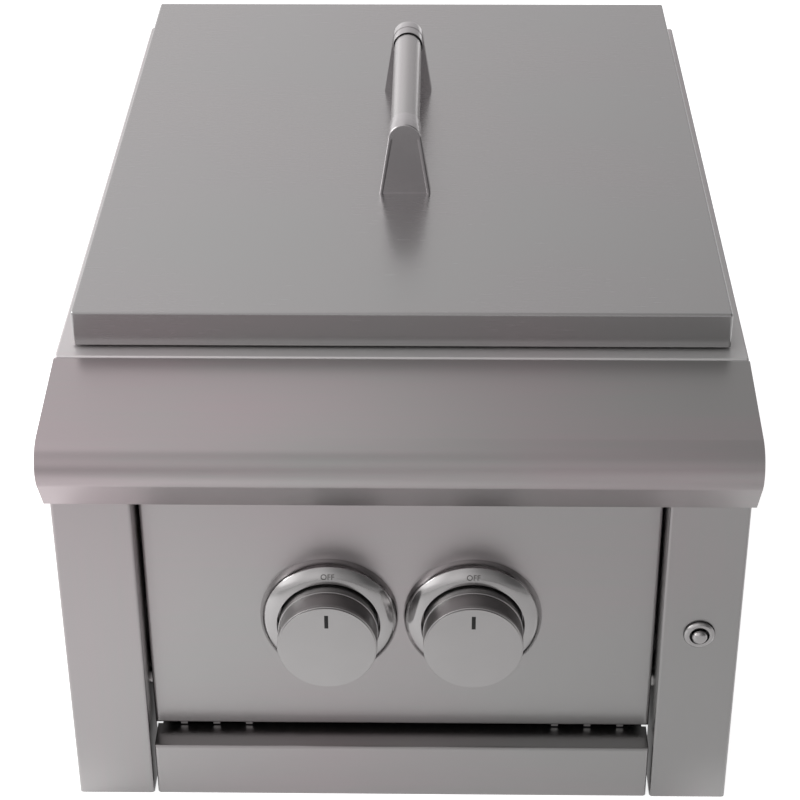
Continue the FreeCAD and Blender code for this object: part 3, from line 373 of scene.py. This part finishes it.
def turn(shape, outline, centre, level, closed=True, steps=192):
    """Spin (radius, distance forward, rounding) points round an axis along Y.

    The distance counts forward, towards -Y, from the plane at y = level.
    """
    corners = []
    for radius, forward, *_ in outline:
        place = (centre[0] + radius * MM, level - forward * MM, centre[1])
        corners.append(shape.verts.new(place))
    for pair in zip(corners, corners[1:]):
        shape.edges.new(pair)
    if closed:
        shape.edges.new((corners[-1], corners[0]))
    for corner, (_, _, *rounding) in zip(corners, outline):
        if rounding:
            soften(shape, [corner], rounding[0], segments=8, affect="VERTICES")
    loose = [edge for edge in shape.edges if not edge.link_faces]
    bmesh.ops.spin(
        shape,
        geom=list({vert for edge in loose for vert in edge.verts}) + loose,
        cent=(centre[0], 0, centre[1]),
        axis=(0, 1, 0),
        angle=math.tau,
        steps=steps,
        use_merge=True,
    )


def finish_piece(name, shape, material, sharp=32):
    """Merge, orient and link a modelled piece; edges above the sharp angle stay crisp."""
    bmesh.ops.remove_doubles(shape, verts=shape.verts, dist=MERGE)
    bmesh.ops.recalc_face_normals(shape, faces=shape.faces)
    open_edges = sum(1 for edge in shape.edges if not edge.is_manifold)
    mesh = bpy.data.meshes.new(name)
    shape.to_mesh(mesh)
    shape.free()
    mesh.shade_smooth()
    mesh.set_sharp_from_angle(angle=math.radians(sharp))
    piece = bpy.data.objects.new(name, mesh)
    bpy.context.scene.collection.objects.link(piece)
    dress(piece, material)
    print(name, "faces:", len(mesh.polygons), "open edges:", open_edges)
    return piece


# %% [markdown]
# A bezel is a die-cast ring with a broad land that falls away from its inner edge in one soft
# curve. The slopes matter more than the size: the land's left side mirrors the bright side of
# the room, and its top the dark underside of the hood. The inner edge stays crisp, so that the
# gap to the knob reads as one black line.

# %% The two bezels
PANEL_FACE = -236.9 * MM
BEZEL = [
    (29.7, 5.8), (29.7, 10.4, 0.2), (35.0, 9.0, 2.8), (39.4, 4.9, 2.4), (40.0, 0.0),
    (38.2, 0.0), (37.2, 4.4), (34.6, 6.8), (31.5, 8.0), (31.5, 5.8),
]


def make_bezel(side):
    shape = bmesh.new()
    turn(shape, BEZEL, CENTRES[side], PANEL_FACE)
    ring = finish_piece(side + "_bezel_ring", shape, POLISHED)
    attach(ring, "root")
    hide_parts(side + "_bezel")


for side in SIDES:
    make_bezel(side)

# %% [markdown]
# The off mark is etched into the land above each knob. It is real lettering, made from a text
# curve that becomes a thin mesh and is then laid on the land at its slope.

# %% The off marks
MARK_RADIUS = 33.6
MARK_FORWARD = 9.42
MARK_HEIGHT = 4.6
MARK_RELIEF = 0.04
LAND_SLOPE = math.radians(-19)


def make_off_mark(side):
    curve = bpy.data.curves.new(side + "_off_text", "FONT")
    curve.body = "OFF"
    curve.size = MARK_HEIGHT * MM
    curve.align_x, curve.align_y = "CENTER", "CENTER"
    curve.extrude = MARK_RELIEF * MM
    text = bpy.data.objects.new(side + "_off_text", curve)
    bpy.context.scene.collection.objects.link(text)
    bpy.context.view_layer.update()
    mesh = bpy.data.meshes.new_from_object(text)
    bpy.data.objects.remove(text)
    across, upright = CENTRES[side]
    spot = Vector((across, PANEL_FACE - MARK_FORWARD * MM, upright + MARK_RADIUS * MM))
    upright_turn = Matrix.Rotation(math.pi / 2 + LAND_SLOPE, 4, "X")
    mesh.transform(Matrix.Translation(spot) @ upright_turn)
    mark = bpy.data.objects.new(side + "_off_mark", mesh)
    bpy.context.scene.collection.objects.link(mark)
    dress(mark, ETCHED)
    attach(mark, "root")
    print(mark.name, "faces:", len(mesh.polygons))


for side in SIDES:
    make_off_mark(side)

# %% [markdown]
# The knob is a hollow turned shell with a hub for the stem. Its knurl is rolled in by two
# wheels that leave crossing grooves, so the skin is a field of tiny pyramids. The band is spun
# with many narrow rows, and then every second point, counted round and along like the squares
# of a chessboard, is pressed in.

# %% The knobs' shells
KNOB_FACE = -267.9 * MM
KNURL_STEPS = 256
KNURL_ROWS = 17
KNURL_START = 3.1
KNURL_PITCH = 0.68
KNURL_PEAK = 28.45
KNURL_LEAST = 27.9
KNURL_DEPTH = 0.4
KNURL_END = KNURL_START + KNURL_PITCH * (KNURL_ROWS - 1)
KNURL_BAND = [(KNURL_PEAK, -KNURL_END + KNURL_PITCH * row) for row in range(KNURL_ROWS)]
KNOB_HUB = [(0, -5.5), (4, -5.5), (4, -22), (7, -22), (7, -6.5)]
KNOB_SKIRT = [
    (25.4, -6.5), (25.4, -26), (28.0, -26), (28.4, -25.6), (28.4, -15, 0.2), (28.7, -14.7, 0.1),
    (28.7, -14.4, 0.1), (28.15, -14.2),
]
KNOB_RIM = [
    (28.1, -2.8), (28.4, -2.5, 0.1), (28.4, -0.9, 0.35), (27.6, -0.8, 0.15), (27.2, -2.0), (0, -2.0),
]
KNOB_OUTLINE = KNOB_HUB + KNOB_SKIRT + KNURL_BAND + KNOB_RIM


def press_knurl(shape, centre):
    """Press in every second point of the band."""
    for vert in shape.verts:
        row = ((vert.co.y - KNOB_FACE) / MM - KNURL_START) / KNURL_PITCH
        out = Vector((vert.co.x - centre[0], 0, vert.co.z - centre[1]))
        if out.length < KNURL_LEAST * MM or not -0.1 < row < KNURL_ROWS - 0.9:
            continue
        step = round(math.atan2(out.z, out.x) / math.tau * KNURL_STEPS)
        if (round(row) + step) % 2:
            vert.co -= out.normalized() * KNURL_DEPTH * MM


def make_knob_shell(side):
    shape = bmesh.new()
    turn(shape, KNOB_OUTLINE, CENTRES[side], KNOB_FACE, closed=False, steps=KNURL_STEPS)
    bmesh.ops.remove_doubles(shape, verts=shape.verts, dist=MERGE)
    press_knurl(shape, CENTRES[side])
    knob = finish_piece(side + "_knob_shell", shape, SATIN[side], sharp=25)
    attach(knob, side + "_knob")
    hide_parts(side + "_knob_body")


print("rows of the knurl:", KNURL_ROWS, "points in a row:", KNURL_STEPS)

# %% [markdown]
# The face plate is a disc nearly as wide as the shell. It stands proud of the rim and is
# undercut, so the gap behind it is a dark line seen from above, and is hidden below. Shell and
# plate turn and slide together, so both ride on the knob's body.

# %% The face plates, and both knobs
FACE_PLATE = [(0, -2.0), (26.9, -2.0), (26.9, -0.8), (27.75, -0.7, 0.1), (27.75, 0.0, 0.15), (0, 0.0)]


def make_face_plate(side):
    shape = bmesh.new()
    turn(shape, FACE_PLATE, CENTRES[side], KNOB_FACE, closed=False, steps=KNURL_STEPS)
    plate = finish_piece(side + "_knob_face", shape, SATIN[side])
    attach(plate, side + "_knob")
    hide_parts(side + "_knob_cap")


for side in SIDES:
    make_knob_shell(side)
    make_face_plate(side)

# %% [markdown]
# The pointer is a groove in the face plate that is filled with dark enamel. Only the enamel is
# made here: a bar that reaches into the plate and stands a hair above it looks the same, so no
# groove has to be cut.

# %% The pointers' enamel
POINTER_WIDTH = 2.3
POINTER_FOOT = 14.0
POINTER_TIP = 23.0
POINTER_DEPTH = 0.44
POINTER_PROUD = 0.04
POINTER_EDGE = 0.1


def make_pointer(side):
    shape = bmesh.new()
    size = Vector((POINTER_WIDTH, POINTER_DEPTH, POINTER_TIP - POINTER_FOOT)) * MM
    middle = Vector((
        CENTRES[side][0],
        KNOB_FACE - POINTER_PROUD * MM + size.y / 2,
        CENTRES[side][1] + POINTER_FOOT * MM + size.z / 2,
    ))
    place = Matrix.Translation(middle) @ Matrix.Diagonal((*size, 1))
    bmesh.ops.create_cube(shape, size=1.0, matrix=place)
    soften(shape, list(shape.edges), POINTER_EDGE, segments=2)
    enamel = finish_piece(side + "_pointer_enamel", shape, ENAMEL)
    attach(enamel, side + "_knob")


for side in SIDES:
    make_pointer(side)

# %% [markdown]
# The igniter's button is a small turned dome in a chromed collar. The collar's crest is
# rounded and bright, and its bore takes the black material as painted shade, so the dome stands
# in a black ring. The dome moves, so it rides on its own body, and the collar stays on the stile.

# %% The push button and its collar
BUTTON_CENTRE = (170.3 * MM, 123 * MM)
STILE_FACE = -252.9 * MM
BORE = 5.6
BORE_SLACK = 0.02
COLLAR = [
    (5.1, -6.0), (5.1, -1.0), (4.5, -1.0), (4.5, -0.4), (BORE, -0.4), (BORE, 2.5, 0.3), (7.3, 2.7, 0.6),
    (8.8, 1.7, 0.5), (8.8, 0.05), (6.4, 0.05), (6.4, -6.0),
]
DOME = [
    (0, 5.6), (2.9, 5.45, 1.1), (4.4, 3.9, 0.8), (4.4, -1.1), (5.0, -1.1), (5.0, -3.0), (4.4, -3.0),
    (4.4, -8.0), (0, -8.0),
]


def make_collar():
    shape = bmesh.new()
    turn(shape, COLLAR, BUTTON_CENTRE, STILE_FACE, steps=96)
    collar = finish_piece("button_collar", shape, POLISHED)
    # The faces of the bore take the black material as painted shade, so the gap round the dome reads as
    # a black ring.
    collar.data.materials.append(BLACK_PLASTIC_AND_PAINTED_SHADE)
    for face in collar.data.polygons:
        out = Vector((face.center.x - BUTTON_CENTRE[0], face.center.z - BUTTON_CENTRE[1]))
        if out.length < (BORE + BORE_SLACK) * MM:
            face.material_index = 1
    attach(collar, "root")
    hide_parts("button_ring")


def make_dome():
    shape = bmesh.new()
    turn(shape, DOME, BUTTON_CENTRE, STILE_FACE, closed=False, steps=96)
    dome = finish_piece("push_button_dome", shape, POLISHED)
    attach(dome, "button")
    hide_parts("push_button")


make_collar()
make_dome()

# %% [markdown]
# Each end of the handle is one casting: a tapered post with a rounded bead round its face, and
# a socket that holds the tube. The post's outline is a half circle, made by spinning one point,
# which two sloping sides and a flat foot close. That face is then extruded to the thickness.

# %% The outline of a post
HANDLE_AXIS = 331.5
LID_TOP = 295.4
POST_FOOT = 15.7
POST_TOP = 10.09
FOOT_ZONE = LID_TOP + 3


def post_outline(shape, depth):
    """The post's outer outline as one face at y = depth."""
    start = shape.verts.new((POST_TOP * MM, depth, HANDLE_AXIS * MM))
    arc = bmesh.ops.spin(
        shape,
        geom=[start],
        cent=(0, 0, HANDLE_AXIS * MM),
        axis=(0, -1, 0),
        angle=math.pi,
        steps=32,
    )
    last = arc["geom_last"][0]
    feet = [shape.verts.new((POST_FOOT * sign * MM, depth, LID_TOP * MM)) for sign in (-1, 1)]
    shape.edges.new((last, feet[0]))
    shape.edges.new((feet[0], feet[1]))
    shape.edges.new((feet[1], start))
    return bmesh.ops.holes_fill(shape, edges=shape.edges, sides=0)["faces"]


print("a post's height:", round(HANDLE_AXIS + POST_TOP - LID_TOP, 2), "mm")

# %% [markdown]
# The bead comes from two insets of the post's face. The first is as wide as the bead. The second
# is very narrow and is pressed in, so it makes the bead's steep inner wall. A bevel then rounds
# the outer rim and the bead's crest. An inset pulls the foot's corners up as well, so they are
# put back down, each time a hair higher than before, so that no two of them meet.

# %% A post with its bead
POST_THICKNESS = 9.2
POST_RIM = 0.75
BEAD = 1.8
BEAD_WALL = 0.15
BEAD_DEPTH = 1.1
FOOT_STEP = 0.02


def upper_edges(faces):
    """The outline of some faces, without the edge along the foot."""
    edges = {edge for face in faces for edge in face.edges}
    return [edge for edge in edges if max(vert.co.z for vert in edge.verts) > FOOT_ZONE * MM]


def inset(shape, faces, thickness, foot):
    """Inset some faces, and bring their lowest corners back down to just above the lid."""
    bmesh.ops.inset_region(shape, faces=faces, thickness=thickness * MM, use_even_offset=True)
    for vert in {vert for face in faces for vert in face.verts}:
        if vert.co.z < FOOT_ZONE * MM:
            vert.co.z = (LID_TOP + foot) * MM


def make_post(shape, outside, inward):
    """A post from y = outside; inward is +1 or -1, towards the handle's middle."""
    face = post_outline(shape, outside * MM)
    grown = bmesh.ops.extrude_face_region(shape, geom=face)["geom"]
    moved = [part for part in grown if isinstance(part, bmesh.types.BMVert)]
    bmesh.ops.translate(shape, verts=moved, vec=(0, POST_THICKNESS * inward * MM, 0))
    bmesh.ops.recalc_face_normals(shape, faces=shape.faces)
    front = [face for face in shape.faces if face.normal.y * inward < -0.9]
    rim = upper_edges(front)
    inset(shape, front, BEAD, foot=FOOT_STEP)
    crest = upper_edges(front)
    inset(shape, front, BEAD_WALL, foot=2 * FOOT_STEP)
    for vert in {vert for face in front for vert in face.verts}:
        vert.co.y += BEAD_DEPTH * inward * MM
    soften(shape, rim + crest, POST_RIM, segments=5)


# %% [markdown]
# The socket is a ring turned round the tube's axis. It starts inside the post, and the recess at
# its mouth takes the black material as painted shade, because no light reaches the gap round a
# real tube.

# %% The handle's two ends
TUBE_RADIUS = 8.9
SOCKET_RADIUS = POST_TOP - 0.25
SOCKET_EDGE = 0.25
SOCKET_ROOT = 1.0
SOCKET_REACH = 18.7
SOCKET_TAPER = 1.0
RECESS_RADIUS = 9.6
RECESS_DEPTH = 3.0
SLACK = 0.1
ENDS = {
    "handle_front_bracket": (-39.8, 1),
    "handle_rear_bracket": (124.8, -1),
}


def paint_shade_in_recess(piece, outside, inward):
    """Give the recess the black material as painted shade, on the faces whose middles lie in it."""
    piece.data.materials.append(BLACK_PLASTIC_AND_PAINTED_SHADE)
    for face in piece.data.polygons:
        out = math.hypot(face.center.x, face.center.z - HANDLE_AXIS * MM) / MM
        deep = (face.center.y / MM - outside) * inward
        beside_tube = TUBE_RADIUS - SLACK < out < RECESS_RADIUS + SLACK
        if beside_tube and SOCKET_REACH - RECESS_DEPTH - SLACK < deep < SOCKET_REACH - SLACK:
            face.material_index = 1


def make_bracket(node, outside, inward):
    shape = bmesh.new()
    make_post(shape, outside, inward)
    root, mouth = SOCKET_ROOT * -inward, SOCKET_REACH * -inward
    bottom = mouth + RECESS_DEPTH * inward
    socket = [
        (SOCKET_RADIUS, root), (SOCKET_RADIUS, mouth, SOCKET_EDGE), (RECESS_RADIUS, mouth),
        (RECESS_RADIUS, bottom), (TUBE_RADIUS, bottom), (TUBE_RADIUS - SOCKET_TAPER, root),
    ]
    turn(shape, socket, (0, HANDLE_AXIS * MM), outside * MM, steps=96)
    piece = finish_piece(node + "_casting", shape, CAST_POST)
    paint_shade_in_recess(piece, outside, inward)
    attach(piece, "lid")
    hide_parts(node)


for node, (outside, inward) in ENDS.items():
    make_bracket(node, outside, inward)

# %% [markdown]
# The studio is one large pale floor. It glows plain white to the camera, so the page behind the
# burner is clean, but it still takes the burner's shadow. In reflections it glows less, and not
# evenly: the upright faces mirror the stretch in front of the burner, so that stretch is dimmed,
# more to the right and towards the camera, which gives them their slow fall from left to right.
# The place beneath the burner is dimmed as well, because little light would reach it.

# %% Floor
FLOOR_REACH = 8.0
FLOOR_PAINT = 0.86
PAGE_GLOW = 0.82
MIRROR_GLOW = 0.45
FRONT_EDGE = (0.24, 0.3)
BACK_EDGE = (-0.28, -0.2)
SIDE_EDGE_SQUARED = (0.022, 0.036)
SHADE_SPAN = (0.3, 0.62)
SHADE_LEAN = 0.6
DIMMING = 0.5


def floor_glow(paint):
    """How strongly the floor shines, for the rays of the camera and of reflections."""
    across, deep, _ = paint.axes("Object")
    before = paint.rise(deep * -1, *FRONT_EDGE)
    beneath = paint.rise(deep * -1, *BACK_EDGE) * (1 - paint.rise(across * across, *SIDE_EDGE_SQUARED))
    shade = paint.rise(across * SHADE_LEAN - deep, *SHADE_SPAN)
    dimmed = before + (1 - before) * beneath
    mirror_glow = MIRROR_GLOW * (1 - dimmed * (DIMMING + DIMMING * shade))
    rays = paint.add("ShaderNodeLightPath").outputs
    seen = (Level(paint, rays["Is Camera Ray"]) + rays["Is Transmission Ray"]) * PAGE_GLOW
    return seen + mirror_glow * rays["Is Glossy Ray"]


def floor_paint():
    paint = Finish("floor_white")
    white = (FLOOR_PAINT, FLOOR_PAINT, FLOOR_PAINT, 1)
    paint.set(Base_Color=white, Roughness=0.9, Specular_IOR_Level=0.0)
    light = paint.add("ShaderNodeEmission", None, {"Strength": floor_glow(paint)})
    both = paint.add("ShaderNodeAddShader", None, {0: paint.shader.outputs[0], 1: light.outputs[0]})
    paint.feed(paint.out.inputs["Surface"], both.outputs[0])
    return paint.material


def make_floor():
    shape = bmesh.new()
    bmesh.ops.create_grid(shape, x_segments=1, y_segments=1, size=FLOOR_REACH)
    mesh = bpy.data.meshes.new("floor")
    shape.to_mesh(mesh)
    shape.free()
    floor = bpy.data.objects.new("floor", mesh)
    bpy.context.scene.collection.objects.link(floor)
    dress(floor, floor_paint())
    print("floor:", 2 * FLOOR_REACH, "m wide")


make_floor()

# %% [markdown]
# The world is the room. Steel shows nothing but its surroundings, so a few soft steps of light
# make most of its shading: a bright band at the horizon, walls and a ceiling that fall off from
# left to right, a darker side behind the camera, and a far left that is brighter and a far right
# that is darker again, for the faces that look sideways. The camera itself sees a white page.

# %% World
SIDE_SPAN = (-0.3, 0.3)
FAR_RIGHT_SPAN = (0.25, 0.7)
FAR_RIGHT_LOSS = 0.6
FAR_LEFT_SPAN = (0.4, 0.85)
FAR_LEFT_GAIN = 0.8
CAMERA_SIDE_SPAN = (-0.1, 0.35)
CAMERA_SIDE_LOSS = 0.35
BAND_SPAN = (0.1, 0.24)
CEILING_SPAN = (0.35, 0.8)
PAGE_WHITE = 1.03
AIR = (1, 0.985, 0.985, 1)


def room_light(room, back, front, ceiling, band):
    """The strength of the room's light in every direction."""
    across, deep, upright = room.axes("Generated")
    side = room.rise(across, *SIDE_SPAN)
    far_right = room.rise(across, *FAR_RIGHT_SPAN)
    far_left = room.rise(across * -1, *FAR_LEFT_SPAN)

    def sweep(pair):
        return pair[0] + side * (pair[1] - pair[0])

    ahead = room.rise(deep * -1, *CAMERA_SIDE_SPAN)
    walls = sweep(back) * (1 - ahead) + sweep(front) * ahead
    high = room.rise(upright, *CEILING_SPAN)
    ends = 1 - FAR_RIGHT_LOSS * far_right + FAR_LEFT_GAIN * far_left
    lit = (walls + high * (sweep(ceiling) - walls)) * ends
    above = room.rise(upright, *BAND_SPAN)
    edge = sweep(band) * (1 - CAMERA_SIDE_LOSS * ahead)
    return edge + above * (lit - edge)


def make_world(back, front, ceiling, band):
    """Each pair is the light on the left and on the right."""
    world = bpy.data.worlds.new("studio")
    bpy.context.scene.world = world
    world.use_nodes = True
    world.node_tree.nodes.clear()
    room = Maker(world.node_tree)
    strength = room_light(room, back, front, ceiling, band)
    page = Level(room, room.add("ShaderNodeLightPath").outputs["Is Camera Ray"])
    strength = strength + page * (PAGE_WHITE - strength)
    sky = room.add("ShaderNodeBackground", None, {"Color": AIR, "Strength": strength})
    out = room.add("ShaderNodeOutputWorld")
    room.feed(out.inputs["Surface"], sky.outputs[0])
    print("nodes of the world:", len(world.node_tree.nodes))


make_world(back=(0.91, 0.58), front=(0.87, 0.35), ceiling=(0.72, 0.27), band=(1.15, 0.5))

# %% [markdown]
# One softbox stands close on the left. It lights the left part of the floor more than the
# right, and its own image makes the bright lines on the bezels and the handle. A large weak box
# hangs overhead, also on the left, and lifts the sheets that face up.

# %% Lamps


def softbox(name, place, aim, width, height, watts):
    lamp = bpy.data.lights.new(name, "AREA")
    lamp.shape = "RECTANGLE"
    lamp.size, lamp.size_y = width, height
    lamp.energy = watts
    box = bpy.data.objects.new(name, lamp)
    box.location = place
    box.rotation_mode = "QUATERNION"
    box.rotation_quaternion = (Vector(aim) - Vector(place)).to_track_quat("-Z", "Y")
    bpy.context.scene.collection.objects.link(box)
    print(name, "watts:", watts)


softbox("key_box", place=(-0.9, -0.25, 0.8), aim=(0, -0.2, 0.05), width=0.6, height=0.6, watts=4)
softbox("overhead_box", place=(-0.8, 0.15, 1.5), aim=(-0.8, 0.1501, 0), width=1.6, height=2.1, watts=2)

# %% [markdown]
# The camera stands where the photographer stood. Its place, tilt and focal length were solved
# from the burner's own straight edges, so the frame lines up with the photograph.

# %% Camera
PHOTO_PIXELS = 800
FOCAL_PIXELS = 2179.3
SENSOR = 36.0
NEAREST = 0.05
FARTHEST = 50
CAMERA_PLACE = Vector((0.0195, -1.2416, 0.8913))
CAMERA_TILT = math.radians(31.7735)
CAMERA_TURN = math.radians(-1.1052)
CAMERA_ROLL = math.radians(0.3125)


def make_camera():
    data = bpy.data.cameras.new("camera")
    data.sensor_width = SENSOR
    data.lens = FOCAL_PIXELS / PHOTO_PIXELS * SENSOR
    data.clip_start, data.clip_end = NEAREST, FARTHEST
    camera = bpy.data.objects.new("camera", data)
    bpy.context.scene.collection.objects.link(camera)
    flat = math.cos(CAMERA_TILT)
    ahead = Vector((math.sin(CAMERA_TURN) * flat, math.cos(CAMERA_TURN) * flat, -math.sin(CAMERA_TILT)))
    level = Vector((math.cos(CAMERA_TURN), -math.sin(CAMERA_TURN), 0))
    down = ahead.cross(level)
    right = level * math.cos(CAMERA_ROLL) + down * math.sin(CAMERA_ROLL)
    down = down * math.cos(CAMERA_ROLL) - level * math.sin(CAMERA_ROLL)
    camera.matrix_world = Matrix((
        (right.x, -down.x, -ahead.x, CAMERA_PLACE.x),
        (right.y, -down.y, -ahead.y, CAMERA_PLACE.y),
        (right.z, -down.z, -ahead.z, CAMERA_PLACE.z),
        (0, 0, 0, 1),
    ))
    bpy.context.scene.camera = camera
    print("focal length:", round(data.lens, 1), "mm")


make_camera()
bpy.context.scene.view_settings.view_transform = "Standard"
